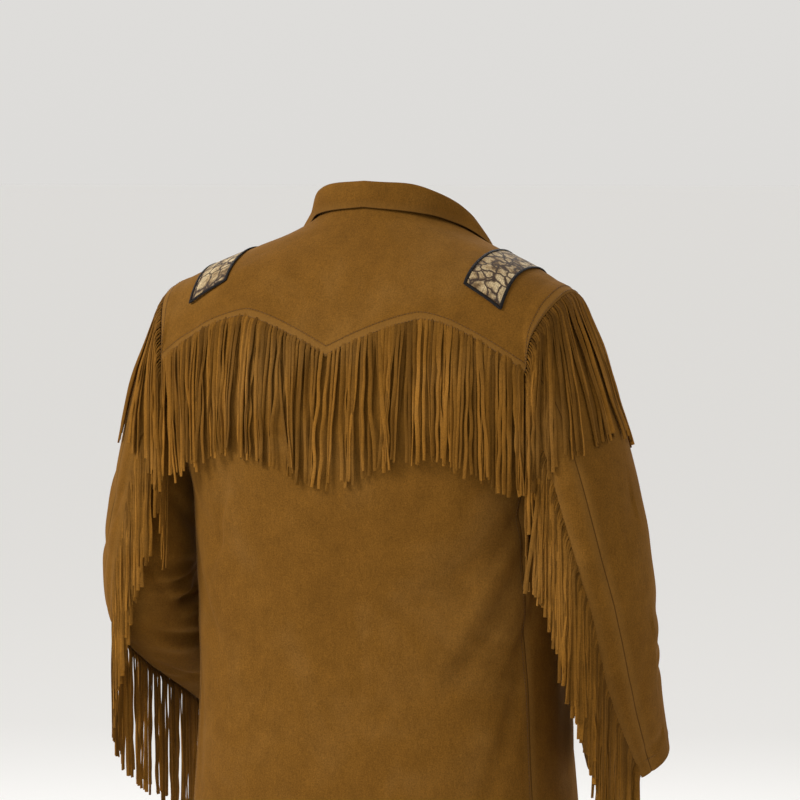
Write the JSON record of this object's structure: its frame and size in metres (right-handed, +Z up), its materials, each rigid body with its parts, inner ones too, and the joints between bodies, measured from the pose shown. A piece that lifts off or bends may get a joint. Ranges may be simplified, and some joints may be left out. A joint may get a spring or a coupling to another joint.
{
  "type": "fringe jacket",
  "caption": "Worn suede jacket as a hollow shell: pointed back yoke, shoulder patches, folded collar, set-in sleeves, and long fringe on yoke, armholes and sleeve seams.",
  "frame": {"origin": "middle of the neck base, where the wearer's shoulders carry the jacket", "axes": "+Z up, -Y the front, +X the wearer's left"},
  "size_m": [0.7428, 0.3595, 0.874],
  "materials": {
    "suede": "soft matte brushed nap, tan brown",
    "fringe": "cut suede strips, matte",
    "patch": "pale reptile-pattern leather, low sheen",
    "border": "black thread border",
    "button": "brown horn-like button"
  },
  "bodies": {
    "root": {"back": "suede", "yoke": "suede", "collar": "suede", "side_left": "suede", "side_right": "suede", "front_left": "suede", "front_right": "suede", "sleeve_upper_left": "suede", "sleeve_upper_right": "suede", "sleeve_band_left": "suede", "sleeve_band_right": "suede", "sleeve_under_left": "suede", "sleeve_under_right": "suede", "yoke_fringe": "fringe", "armhole_fringe_left": "fringe", "armhole_fringe_right": "fringe", "sleeve_fringe_left": "fringe", "sleeve_fringe_right": "fringe", "patch_left": "patch", "patch_right": "patch", "patch_border_left": "border", "patch_border_right": "border", "button_1": "button", "button_2": "button", "button_3": "button", "button_4": "button"}
  },
  "joints": []
}
